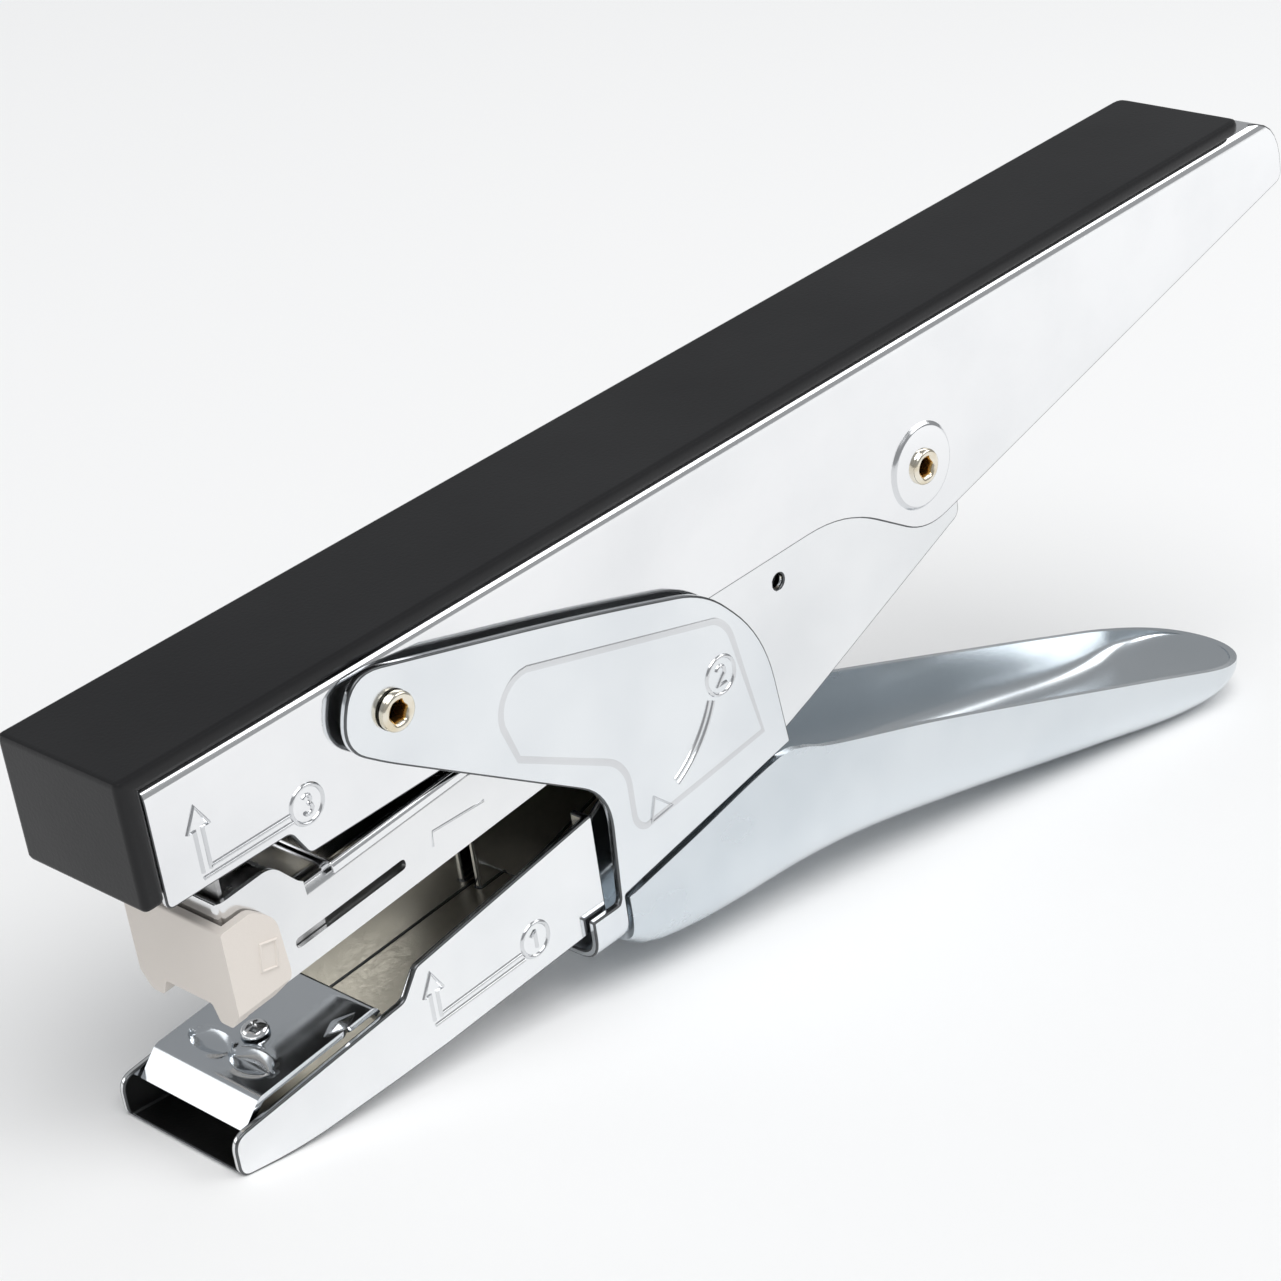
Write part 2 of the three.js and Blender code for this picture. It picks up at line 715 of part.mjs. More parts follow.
function anvilArm() {
  const low = outline([
    [jawFront, -jawNoseTop, 2],
    [jawStep - 1.6, -jawWallTop, 0.6],
    [jawStep + 1, -jawStepTop, 0.6],
    [jawWallEnd, -jawRearTop, 0.6],
    [jawWallEnd, -jawHeel, 0.8],
    [33, -jawFloor, 8],
    [12, -jawFloor, 5],
    [jawFront, -jawHeel, 1.5],
  ]);
  const lowRoom = outline([
    [jawFront - 5, -30],
    [jawWallEnd - jawSheet, -30],
    [jawWallEnd - jawSheet, -jawHeel + jawSheet],
    [33, -jawFloor + jawSheet, 8],
    [12, -jawFloor + jawSheet, 5],
    [jawFront - 5, -jawHeel + jawSheet],
  ]);
  const front = block(low, jawHalf).subtract(block(lowRoom, jawHalf - jawSheet));
  const passage = box(
    [jawWallEnd - 5, -jawInner, -jawHeel + jawSheet],
    [jawWallEnd + 5, jawInner, -30],
  );

  const elbow = jawWallEnd - 0.3;
  const web = [
    [elbow - 4, -jawHeel - 0.4],
    [elbow, -elbowDepth, 2],
    [elbow + 4, -elbowDepth + 0.6, 2],
    [rearPivot.x - 28.3, rearPivot.z - 24.5, 8],
    [rearPivot.x + cheekReach, rearPivot.z - 11.1, 1.2],
  ];
  const tall = outline([
    ...web,
    [rearPivot.x + cheekReach, rearPivot.z + cheekRise, 5],
    [rearPivot.x - cheekFront, rearPivot.z + cheekRise, 8],
    [elbow + 6, -38, 4],
    [elbow - 4, -44],
  ]);
  const tallRoom = outline([
    ...web.map(([x, z, fillet]) => [x, z + jawSheet, fillet]).slice(0, -1),
    [rearPivot.x + 20, rearPivot.z - 6 + jawSheet],
    [rearPivot.x + 20, 20],
    [elbow - 10, 20],
    [elbow - 10, -50],
  ]);
  const plates = block(tall, jawOuter).subtract(block(tallRoom, jawInner));
  const bore = block(disc(rearPivot.x, rearPivot.z, boreRadius), 20);
  const mark = disc(rearPivot.x - dimple.ahead, rearPivot.z - dimple.below, dimple.radius);
  const nearHole = plate(mark, -jawOuter - 1, -jawInner + 1);
  return join(front.subtract(passage), plates).subtract(bore).subtract(nearHole);
}

/** The anvil: a plate with a front lip, a rolled rear edge and two grooves for the staple's legs. */
function anvilPlate() {
  const half = jawHalf - jawSheet - gap;
  const { forward, down } = anvilLip;
  const profile = outline([
    [0, 0, 1.4],
    [anvilLength, 0, anvilRearRoll - 0.2],
    [anvilLength, -anvilRearRoll],
    [anvilLength - anvilSheet, -anvilRearRoll],
    [anvilLength - anvilSheet, -anvilSheet, 0.9],
    [0.5, -anvilSheet, 1],
    [-forward, -down - anvilSheet],
    [-forward, -down],
  ]);
  const grooves = [-1, 1].map((side) => {
    const groove = new THREE.SphereGeometry(1, 10, 6).scale(1.1, stapleCrown / 4 - 0.2, 0.5);
    return solid(groove.translate(grooveLine, (side * stapleCrown) / 4, 0));
  });
  const rivetHole = new THREE.CylinderGeometry(jawRivetBore, jawRivetBore, 6, 12).rotateX(Math.PI / 2);
  const cuts = [...grooves, solid(rivetHole.translate(jawRivetPlace, 0, 0))];
  return cuts.reduce((body, cut) => body.subtract(cut), block(profile, half));
}

/** The dome-headed rivet through the anvil, standing on the jaw's floor. */
function anvilRivet() {
  const shank = jawRivetBore - gap;
  const points = [
    new THREE.Vector2(0, -jawRivetLength),
    new THREE.Vector2(shank, -jawRivetLength),
    new THREE.Vector2(shank, gap),
  ];
  for (let i = 0; i <= 4; i += 1) {
    const angle = (i / 4) * (Math.PI / 2);
    const radius = jawRivetRadius * Math.cos(angle);
    points.push(new THREE.Vector2(radius, gap + jawRivetRise * Math.sin(angle)));
  }
  points.at(-1).x = 0;
  const turnedRivet = new THREE.LatheGeometry(points, 14).rotateX(Math.PI / 2);
  return solid(turnedRivet.translate(jawRivetPlace, 0, 0));
}

const anvilGroup = new THREE.Group();
anvilGroup.position.set(anvilFront, 0, -anvilTop);
anvilGroup.rotation.y = -THREE.MathUtils.degToRad(anvilRise);
stapler.add(anvilGroup);

place(stapler, "anvil_arm", anvilArm(), "chrome");
place(anvilGroup, "anvil_plate", anvilPlate(), "mirrorChrome");
place(anvilGroup, "anvil_rivet", anvilRivet(), "chrome");

// ---- Lower handle -----------------------------------------------------------------------------------

/** Two side plates pivoted on the front rivet, joined by a strap under the jaw. */
function handleBracket() {
  const side = outline([
    [frontPivot.x - 5.2, frontPivot.z + 7.1, 6],
    ...[plateTop, plateShoulder, plateRear].map(({ x, z, round }) => [x, z, round]),
    [seamRear.x, seamRear.z, 0.4],
    [strapRear, seamFront.z],
    [strapRear, -strapDepth + strapSide],
    [strapFront + 1.5, -strapDepth + strapSide],
    [seamFront.x - 0.8, seamFront.z - 0.8, 1],
    [seamFront.x, seamFront.z + 14.6, 5],
    [frontPivot.x - 2.5, frontPivot.z - 5.6, 4],
    [frontPivot.x - 7.8, frontPivot.z - 1.5, 5],
  ]);
  const plates = platePair(side, handleInner, handleOuter);
  const tongue = outline([
    [seamFront.x + 3.5, seamFront.z + 2],
    [seamRear.x - 1, seamRear.z + 2],
    [seamRear.x - 3, seamRear.z - 2, 1],
    [seamFront.x + 5, seamFront.z - 2, 1],
  ]);
  const tongues = platePair(tongue, handleInner - 0.8, handleInner + 0.05);
  const sideTop = -strapDepth + strapSide + 1;
  const section = outline([
    [-handleOuter, -strapDepth, strapRound],
    [handleOuter, -strapDepth, strapRound],
    [handleOuter, sideTop],
    [handleInner, sideTop],
    [handleInner, -strapDepth + handleSheet, strapRound - handleSheet],
    [-handleInner, -strapDepth + handleSheet, strapRound - handleSheet],
    [-handleInner, sideTop],
    [-handleOuter, sideTop],
  ]);
  const strap = drawn(section, strapFront, strapRear);
  return join(...plates, ...tongues, strap).subtract(
    block(disc(frontPivot.x, frontPivot.z, boreRadius), 30),
  );
}

/** A point of the trough's outline: a share of the way from the seam's rear to the tip, and its drop. */
function alongTrough([share, drop]) {
  return [THREE.MathUtils.lerp(seamRear.x, troughTip, share), seamRear.z - drop];
}

/** A point of the trough's rim under the bracket's plates. */
function underSeam(x) {
  const seam = THREE.MathUtils.mapLinear(x, seamFront.x, seamRear.x, seamFront.z, seamRear.z);
  return [x, seam - gap - rimEdge];
}

const troughRim = [
  ...[troughFront - 2, troughFront + 10, troughFront + 20, seamRear.x - 2].map(underSeam),
  ...[
    [0.02, 1.9],
    [0.06, 3.9],
    [0.27, 11.7],
    [0.69, 28.6],
    [0.9, 37.1],
    [1, 40.4],
  ].map(alongTrough),
];
const troughBottom = [
  [troughFront - 2, -57],
  [troughFront, -58.6],
  [troughFront + 3, -61],
  [troughFront + 8, -62.9],
  [seamRear.x - 13, -64.9],
  ...[
    [0.1, 22.4],
    [0.33, 28.4],
    [0.61, 36.6],
    [0.81, 42],
    [1, 43.2],
  ].map(alongTrough),
];

/** Height at x of a smooth line through points [x, z]. */
function heightAt(points, x) {
  const curve = new THREE.SplineCurve(points.map((point) => new THREE.Vector2(...point)));
  const line = curve.getPoints(60);
  const next = Math.max(1, line.findIndex((point) => point.x >= x));
  const [a, b] = [line[next - 1], line[next]];
  return THREE.MathUtils.mapLinear(x, a.x, b.x, a.y, b.y);
}

/** A boat-shaped solid, inset from the trough's outer skin, cut flat in front, its top raised by lift. */
function boat(inset, lift) {
  const rows = 30;
  const around = 24;
  const loop = around + 3;
  const front = troughFront - inset;
  const tip = troughTip - inset;
  const surface = (turn, along, target) => {
    const row = Math.round(along * rows);
    const share = Math.max(0, row - 1) / (rows - 1);
    const x = front + (tip - front) * (1 - (1 - share) ** 1.7);
    const rim = heightAt(troughRim, x);
    if (row === 0 || row === rows) {
      target.set(x, 0, rim);
      return;
    }
    const toTip = Math.max(0, (x - tip) / troughTipLength + 1);
    const round = Math.sqrt(Math.max(0, 1 - toTip ** 2.4));
    const depth = (rim - heightAt(troughBottom, x) - inset) * round;
    const half = (troughHalf - inset) * round;
    const step = (Math.round(turn * loop) % loop) - 1;
    if (step < 0 || step > around) {
      target.set(x, Math.sign(step - 1) * half, rim + lift);
      return;
    }
    const angle = Math.PI * (step / around - 0.5);
    const squareness = 0.38 + 0.3 * share;
    const across = Math.sign(angle) * Math.abs(Math.sin(angle)) ** squareness;
    target.set(x, half * across, rim - depth * Math.abs(Math.cos(angle)) ** squareness);
  };
  return solid(new ParametricGeometry(surface, loop, rows));
}

/** The trough-shaped grip, open in front and above. */
function handleTrough() {
  return boat(0, rimEdge).subtract(boat(handleSheet, 4));
}

place(stapler, "handle_bracket", handleBracket(), "chrome");
place(stapler, "handle_trough", handleTrough(), "satinChrome");

// ---- Standing pose ----------------------------------------------------------------------------------

/** Side-plane points [x, z] of every vertex. */
function sidePoints(group) {
  const points = [];
  group.updateMatrixWorld(true);
  group.traverse((object) => {
    if (!object.isMesh) {
      return;
    }
    const { position } = object.geometry.attributes;
    for (let i = 0; i < position.count; i += 1) {
      const vertex = new THREE.Vector3().fromBufferAttribute(position, i).applyMatrix4(object.matrixWorld);
      points.push([vertex.x, vertex.z]);
    }
  });
  return points;
}

/** The slope of the straight line that the outline rests on, under x = middle. */
function restingSlope(points, middle) {
  const under = [];
  const turn = ([ax, az], [bx, bz], [cx, cz]) => (bx - ax) * (cz - az) - (bz - az) * (cx - ax);
  for (const point of points.toSorted((a, b) => a[0] - b[0] || a[1] - b[1])) {
    while (under.length > 1 && turn(under.at(-2), under.at(-1), point) <= 0) {
      under.pop();
    }
    under.push(point);
  }
  const heel = under.findIndex(([x]) => x > middle);
  const [[toeX, toeZ], [heelX, heelZ]] = [under[heel - 1], under[heel]];
  return Math.atan2(heelZ - toeZ, heelX - toeX);
}

stapler.rotation.y = restingSlope(sidePoints(stapler), (frontPivot.x + rearPivot.x) / 2);
stapler.updateMatrixWorld(true);
const standing = new THREE.Box3().setFromObject(stapler, true);
const middle = standing.getCenter(new THREE.Vector3());
stapler.position.set(-middle.x, -middle.y, -standing.min.z);

export default stapler;
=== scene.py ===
"""The looks of a chromed hand plier stapler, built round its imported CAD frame.

Shapes are drawn in millimetres in the tool's level frame, which is the frame the CAD is drawn in: x runs
back from the nose, y across from the middle plane, and z up from the top of the cap. LEVEL carries it onto
the standing tool, in metres, from where the two rivets are.
"""

import json
import math

import bmesh
import bpy
from mathutils import Matrix, Vector


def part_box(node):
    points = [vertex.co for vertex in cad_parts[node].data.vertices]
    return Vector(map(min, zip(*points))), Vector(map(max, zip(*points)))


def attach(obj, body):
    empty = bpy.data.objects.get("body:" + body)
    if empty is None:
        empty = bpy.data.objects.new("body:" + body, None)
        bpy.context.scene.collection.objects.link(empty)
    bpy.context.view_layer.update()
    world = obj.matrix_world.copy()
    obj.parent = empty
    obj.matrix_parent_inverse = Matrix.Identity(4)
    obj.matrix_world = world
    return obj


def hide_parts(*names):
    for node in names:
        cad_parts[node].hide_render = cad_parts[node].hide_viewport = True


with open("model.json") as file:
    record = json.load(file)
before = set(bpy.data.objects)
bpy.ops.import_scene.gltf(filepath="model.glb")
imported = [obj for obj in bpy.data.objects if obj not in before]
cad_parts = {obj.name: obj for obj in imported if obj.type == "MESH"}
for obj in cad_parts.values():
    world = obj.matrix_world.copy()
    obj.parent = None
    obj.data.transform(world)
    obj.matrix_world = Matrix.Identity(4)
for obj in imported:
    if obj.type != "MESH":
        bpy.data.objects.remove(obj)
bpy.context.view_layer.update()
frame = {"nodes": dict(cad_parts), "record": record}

# ---- Frames and sizes --------------------------------------------------------------------------------

MM = 0.001
FRONT_PIVOT = Vector((35.0, 0.0, -9.1))
REAR_PIVOT = Vector((128.3, 0.0, -21.4))
ANVIL_FRONT = Vector((8.3, 0.0, -46.1))
ANVIL_RISE = math.radians(4.4)
SHEET = 1.0


def centre(node):
    low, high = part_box(node)
    return (low + high) / 2


def half_width(node):
    """Half of a node's width, in millimetres."""
    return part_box(node)[1].y / MM


def slope(line):
    return math.atan2(line.z, line.x)


TILT = slope(centre("rear_rivet") - centre("front_rivet")) - slope(REAR_PIVOT - FRONT_PIVOT)
TURN = Matrix.Rotation(-TILT, 4, "Y")
TO_FRAME = Matrix.Translation(centre("front_rivet")) @ TURN @ Matrix.Scale(MM, 4)
LEVEL = TO_FRAME @ Matrix.Translation(-FRONT_PIVOT)
ANVIL = LEVEL @ Matrix.Translation(ANVIL_FRONT) @ Matrix.Rotation(-ANVIL_RISE, 4, "Y")

HOUSING_HALF = half_width("upper_housing")
HANDLE_HALF = half_width("handle_bracket")
TROUGH_HALF = half_width("handle_trough")
JAW_HALF = half_width("anvil_arm")
MAGAZINE_HALF = half_width("magazine_body")
ANVIL_HALF = half_width("anvil_plate")

BODY_OF = {
    node: body
    for body, nodes in frame["record"]["behaviour"]["bodies"].items()
    for node in nodes
}

# ---- Materials ---------------------------------------------------------------------------------------


class Shader:
    """A Principled material with short calls for the nodes that vary it."""

    def __init__(self, name, colour, metallic, roughness):
        self.material = bpy.data.materials.new(name)
        self.material.use_nodes = True
        self.nodes = self.material.node_tree.nodes
        self.links = self.material.node_tree.links
        self.surface = self.nodes["Principled BSDF"]
        self.surface.inputs["Base Color"].default_value = (*colour, 1)
        self.surface.inputs["Metallic"].default_value = metallic
        self.surface.inputs["Roughness"].default_value = roughness
        self.place = self.nodes.new("ShaderNodeTexCoord").outputs["Object"]

    def noise(self, scale, detail=4.0, stretch=(1, 1, 1)):
        """Noise with scale in cells per metre."""
        mapping = self.nodes.new("ShaderNodeMapping")
        mapping.inputs["Scale"].default_value = stretch
        texture = self.nodes.new("ShaderNodeTexNoise")
        texture.inputs["Scale"].default_value = scale
        texture.inputs["Detail"].default_value = detail
        self.links.new(self.place, mapping.inputs["Vector"])
        self.links.new(mapping.outputs["Vector"], texture.inputs["Vector"])
        return texture.outputs["Fac"]

    def between(self, factor, low, high, start=0.3, end=0.7):
        """A value or colour that runs from low to high with factor."""
        if isinstance(low, tuple):
            ramp = self.nodes.new("ShaderNodeValToRGB")
            ramp.color_ramp.elements[0].position = start
            ramp.color_ramp.elements[0].color = (*low, 1)
            ramp.color_ramp.elements[1].position = end
            ramp.color_ramp.elements[1].color = (*high, 1)
            self.links.new(factor, ramp.inputs["Fac"])
            return ramp.outputs["Color"]
        span = self.nodes.new("ShaderNodeMapRange")
        span.inputs["From Min"].default_value = start
        span.inputs["From Max"].default_value = end
        span.inputs["To Min"].default_value = low
        span.inputs["To Max"].default_value = high
        self.links.new(factor, span.inputs["Value"])
        return span.outputs["Result"]

    def drive(self, socket, output):
        self.links.new(output, self.surface.inputs[socket])

    def bump(self, *heights):
        """Bumps laid over each other; each is (height output, strength, distance in metres)."""
        normal = None
        for output, strength, distance in heights:
            bump = self.nodes.new("ShaderNodeBump")
            bump.inputs["Strength"].default_value = strength
            bump.inputs["Distance"].default_value = distance
            self.links.new(output, bump.inputs["Height"])
            if normal:
                self.links.new(normal, bump.inputs["Normal"])
            normal = bump.outputs["Normal"]
        self.drive("Normal", normal)


def plated(name, colour, shade, roughness, wave=0.35, grain=0.03):
    """Plated sheet metal: slow waves from pressing, fine grain, smudges and hairline scratches."""
    shader = Shader(name, colour, 1.0, roughness)
    smudge = shader.noise(38, 5)
    hairline = shader.noise(900, 2, stretch=(0.04, 1, 1))
    shader.drive("Base Color", shader.between(smudge, shade, colour, 0.25, 0.6))
    shader.drive("Roughness", shader.between(smudge, roughness * 1.5, roughness * 0.8))
    shader.bump(
        (shader.noise(30, 1), wave, 0.0006),
        (shader.noise(2600, 3), grain, 0.00004),
        (hairline, grain, 0.00003),
    )
    return shader.material


def jaw_lining_and_shade():
    """The jaw's inside: pale warm plating behind the anvil, and near black painted shade under the anvil and
    in front of it.
    """
    pale, painted_shade = (0.90, 0.84, 0.70), (0.02, 0.02, 0.02)
    shader = Shader("jaw_inside", pale, 1.0, 0.36)
    split = shader.nodes.new("ShaderNodeSeparateXYZ")
    shader.links.new(shader.place, split.inputs["Vector"])
    anvil_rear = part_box("anvil_plate")[1].x
    past_anvil = shader.between(split.outputs["X"], 0.0, 1.0, anvil_rear - 14 * MM, anvil_rear - 4 * MM)
    # Painted shade: near black on the floor under and in front of the anvil, fading to the pale plating
    # behind it.
    shader.drive("Base Color", shader.between(past_anvil, painted_shade, pale, 0.0, 1.0))
    shader.drive("Roughness", shader.between(shader.noise(1400, 3), 0.44, 0.32))
    shader.bump((shader.noise(2600, 4), 0.30, 0.00008))
    return shader.material


def moulded(name, colour, worn, roughness, grain=0.22):
    """Moulded plastic: a fine matt grain, slightly paler where hands have been."""
    shader = Shader(name, colour, 0.0, roughness)
    handled = shader.noise(24, 4)
    shader.drive("Base Color", shader.between(handled, colour, worn))
    shader.drive("Roughness", shader.between(handled, roughness * 1.12, roughness * 0.85))
    shader.bump((shader.noise(2200, 4), grain, 0.00008), (shader.noise(60, 2), 0.12, 0.0003))
    shader.surface.inputs["IOR"].default_value = 1.33
    return shader.material


def turned_metal(name, colour, shade, roughness):
    """Rivets, rods and springs: drawn or turned metal with darker patches."""
    shader = Shader(name, colour, 1.0, roughness)
    patch = shader.noise(420, 5)
    shader.drive("Base Color", shader.between(patch, shade, colour, 0.3, 0.55))
    shader.drive("Roughness", shader.between(patch, roughness * 1.4, roughness * 0.8))
    shader.bump((shader.noise(1800, 3), 0.1, 0.00006))
    return shader.material


FINISH = {
    "chrome": plated("chrome", (0.90, 0.905, 0.915), (0.80, 0.81, 0.825), 0.10),
    "handle_chrome": plated("handle_chrome", (0.84, 0.865, 0.885), (0.72, 0.75, 0.78), 0.17, wave=0.5),
    "jaw_chrome": plated("jaw_chrome", (0.88, 0.89, 0.90), (0.77, 0.785, 0.80), 0.11, wave=0.45),
    "jaw_inside": jaw_lining_and_shade(),
    # A near black chrome for rounded edges: a painted shade line where the parts meet.
    "painted_shade_edge": plated("painted_shade_edge", (0.13, 0.135, 0.14), (0.09, 0.093, 0.097), 0.30),
    # A darker chrome for the pressed marks and the rivet seat's sloping edge: painted shade on their slopes.
    "painted_shade_chrome": plated("painted_shade_chrome", (0.72, 0.73, 0.745), (0.60, 0.61, 0.63), 0.16),
    "magazine_chrome": plated("magazine_chrome", (0.86, 0.865, 0.87), (0.76, 0.77, 0.78), 0.12),
    "satin_chrome": plated("satin_chrome", (0.72, 0.76, 0.79), (0.60, 0.65, 0.69), 0.20, wave=0.8),
    "anvil_chrome": plated(
        "anvil_chrome", (0.74, 0.77, 0.80), (0.60, 0.64, 0.68), 0.12, wave=0.7, grain=0.02
    ),
    "black_plastic": moulded("black_plastic", (0.008, 0.008, 0.009), (0.013, 0.013, 0.014), 0.38),
    "warm_plastic": moulded("warm_plastic", (0.73, 0.675, 0.62), (0.80, 0.745, 0.69), 0.46),
    "rivet": turned_metal("rivet", (0.84, 0.79, 0.68), (0.70, 0.60, 0.42), 0.16),
    "rivet_brass": turned_metal("rivet_brass", (0.62, 0.42, 0.16), (0.34, 0.21, 0.07), 0.24),
    "inner_steel": turned_metal("inner_steel", (0.46, 0.46, 0.46), (0.30, 0.30, 0.30), 0.32),
    "spring_steel": turned_metal("spring_steel", (0.36, 0.37, 0.38), (0.22, 0.22, 0.23), 0.28),
}

# ---- Mesh tools --------------------------------------------------------------------------------------


def build(name, shape, matrix, body, finish, smooth_below):
    """A bmesh as a finished piece: carried by matrix into the frame, smooth but for its sharp edges."""
    shape.transform(matrix)
    bmesh.ops.recalc_face_normals(shape, faces=shape.faces)
    for face in shape.faces:
        face.smooth = True
    for edge in shape.edges:
        edge.smooth = edge.calc_face_angle(math.pi) < math.radians(smooth_below)
    mesh = bpy.data.meshes.new(name)
    shape.to_mesh(mesh)
    shape.free()
    mesh.materials.append(FINISH[finish])
    piece = bpy.data.objects.new(name, mesh)
    bpy.context.scene.collection.objects.link(piece)
    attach(piece, body)
    return piece


def rounded(node, finish, edge, edge_shade=None):
    """A piece on a CAD node's shape with its flat faces joined up and its sharp edges rounded.

    edge is in millimetres. With an edge finish given, the rounded edges take it, a dark chrome that paints a
    shade line along them, and keep their full width beside short edges.
    """
    shape = bmesh.new()
    shape.from_mesh(frame["nodes"][node].data)
    bmesh.ops.remove_doubles(shape, verts=shape.verts, dist=0.01 * MM)
    bmesh.ops.dissolve_limit(
        shape,
        angle_limit=math.radians(0.8),
        verts=shape.verts,
        edges=shape.edges,
    )
    body = BODY_OF[node]
    piece = build(node + "_piece", shape, Matrix.Identity(4), body, finish, 180.0)
    bevel = piece.modifiers.new("round_edges", "BEVEL")
    bevel.width = edge * MM
    bevel.segments = 3
    bevel.limit_method = "ANGLE"
    bevel.angle_limit = math.radians(32)
    bevel.miter_outer = "MITER_ARC"
    # The rounded edges take the dark chrome: painted shade lines.
    if edge_shade:
        piece.data.materials.append(FINISH[edge_shade])
        bevel.material = len(piece.data.materials) - 1
        bevel.use_clamp_overlap = False
    weights = piece.modifiers.new("flat_faces", "WEIGHTED_NORMAL")
    weights.mode = "FACE_AREA"
    weights.weight = 100
    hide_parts(node)
    return piece


def arc(middle, radius, start, end, steps=12):
    """Points [x, z] of an arc, angles in degrees."""
    angles = [math.radians(start + (end - start) * i / steps) for i in range(steps + 1)]
    return [(middle[0] + radius * math.cos(a), middle[1] + radius * math.sin(a)) for a in angles]


def moved(points, offset, size=1.0):
    return [(offset[0] + size * x, offset[1] + size * z) for x, z in points]


def ridge(shape, points, half, width, height, closed):
    """A low round ridge, as pressed from behind, along points [x, z] of the near side face."""
    across = [-1.0, -0.62, -0.25, 0.25, 0.62, 1.0]
    path = [Vector(point) for point in points]
    rings = []
    for i, point in enumerate(path):
        before = path[i - 1] if i or closed else point
        after = path[(i + 1) % len(path)] if i + 1 < len(path) or closed else point
        along = (after - before).normalized()
        ring = []
        for share in across:
            x = point.x - along.y * share * width / 2
            z = point.y + along.x * share * width / 2
            rise = height * math.cos(share * math.pi / 2) - 0.03
            ring.append(shape.verts.new((x, -half - rise, z)))
        rings.append(ring)
    pairs = list(zip(rings, rings[1:] + rings[:1])) if closed else list(zip(rings, rings[1:]))
    for one, two in pairs:
        for a, b, c, d in zip(one, one[1:], two[1:], two):
            shape.faces.new((a, b, c, d))
    if not closed:
        for ring in (rings[0], rings[-1]):
            shape.faces.new(ring)


def marks(name, node, half, strokes, width, height, finish="painted_shade_chrome"):
    """Pressed marks on the near face of a node: each stroke is (points, closed). By default they take the
    darker chrome, painted shade on the ridges.
    """
    shape = bmesh.new()
    for points, closed in strokes:
        ridge(shape, points, half, width, height, closed)
    return build(name, shape, LEVEL, BODY_OF[node], finish, 60.0)


def lathe(shape, profile, middle, segments=48, lobes=0.0):
    """A closed profile of [radius, y] turned about a line across the tool; inner rows can be star-shaped."""
    rings = []
    for i in range(segments):
        angle = 2 * math.pi * i / segments
        star = 1 - lobes * abs(math.sin(3 * angle))
        ring = []
        for radius, y, is_inner in profile:
            reach = radius * (star if is_inner else 1)
            x = middle.x + reach * math.cos(angle)
            z = middle.z + reach * math.sin(angle)
            ring.append(shape.verts.new((x, y, z)))
        rings.append(ring)
    for one, two in zip(rings, rings[1:] + rings[:1]):
        for a, b, c, d in zip(one, one[1:] + one[:1], two[1:] + two[:1], two):
            shape.faces.new((a, b, c, d))


def grid(shape, rows):
    """A surface through rows of points."""
    made = [[shape.verts.new(point) for point in row] for row in rows]
    for one, two in zip(made, made[1:]):
        for a, b, c, d in zip(one, one[1:], two[1:], two):
            shape.faces.new((a, b, c, d))


# ---- Camera, light and floor -------------------------------------------------------------------------

EYE = Vector((-158.1, -259.35, 166.6))
EYE_RIGHT = Vector((0.6752, -0.7264, -0.1281))
EYE_UP = Vector((0.4315, 0.2482, 0.8673))
EYE_LENS = 92.11


def aim_camera():
    camera = bpy.data.objects.new("camera", bpy.data.cameras.new("camera"))
    bpy.context.scene.collection.objects.link(camera)
    axes = Matrix((EYE_RIGHT, EYE_UP, EYE_RIGHT.cross(EYE_UP))).transposed().to_4x4()
    camera.matrix_world = Matrix.Translation(LEVEL @ EYE) @ TURN @ axes
    camera.data.lens = EYE_LENS
    camera.data.sensor_width = 36
    camera.data.clip_start = 0.01
    bpy.context.scene.camera = camera


def glow(name, middle, direction, distance, width, height, power):
    """A soft rectangular light at distance from middle, facing it; lengths in metres."""
    light = bpy.data.objects.new(name, bpy.data.lights.new(name, "AREA"))
    light.data.shape = "RECTANGLE"
    light.data.size = width
    light.data.size_y = height
    light.data.energy = power
    light.location = middle + direction.normalized() * distance
    light.rotation_mode = "QUATERNION"
    light.rotation_quaternion = (-direction).to_track_quat("-Z", "Y")
    bpy.context.scene.collection.objects.link(light)


def lay_floor(reach, shade):
    """A plain square floor that reaches this far, in metres, from the middle."""
    corners = [(-reach, -reach, 0), (reach, -reach, 0), (reach, reach, 0), (-reach, reach, 0)]
    mesh = bpy.data.meshes.new("floor")
    mesh.from_pydata(corners, [], [range(len(corners))])
    mesh.materials.append(Shader("floor", (shade, shade, shade), 0.0, 0.9).material)
    made = bpy.data.objects.new("floor", mesh)
    bpy.context.scene.collection.objects.link(made)


def light_studio():
    world = bpy.data.worlds.new("studio")
    world.use_nodes = True
    sky = world.node_tree.nodes["Background"].inputs
    sky["Color"].default_value = (0.96, 0.98, 1.0, 1)
    sky["Strength"].default_value = 0.36
    bpy.context.scene.world = world
    bpy.context.scene.view_settings.view_transform = "Standard"
    lay_floor(6.0, 0.92)
    sun = bpy.data.objects.new("sun", bpy.data.lights.new("sun", "SUN"))
    sun.data.energy = 1.9
    sun.data.angle = math.radians(45)
    sun.rotation_mode = "QUATERNION"
    sun.rotation_quaternion = Vector((0.35, 0.45, -1)).to_track_quat("-Z", "Y")
    bpy.context.scene.collection.objects.link(sun)
    glow("fold_light", centre("upper_housing"), Vector((0.60, -0.52, 0.60)), 1.1, 0.9, 0.5, 3)
    glow("lip_light", centre("anvil_plate"), Vector((-0.65, 0.69, 0.36)), 1.0, 0.5, 0.4, 0.75)


aim_camera()
light_studio()

# ---- Pieces ------------------------------------------------------------------------------------------

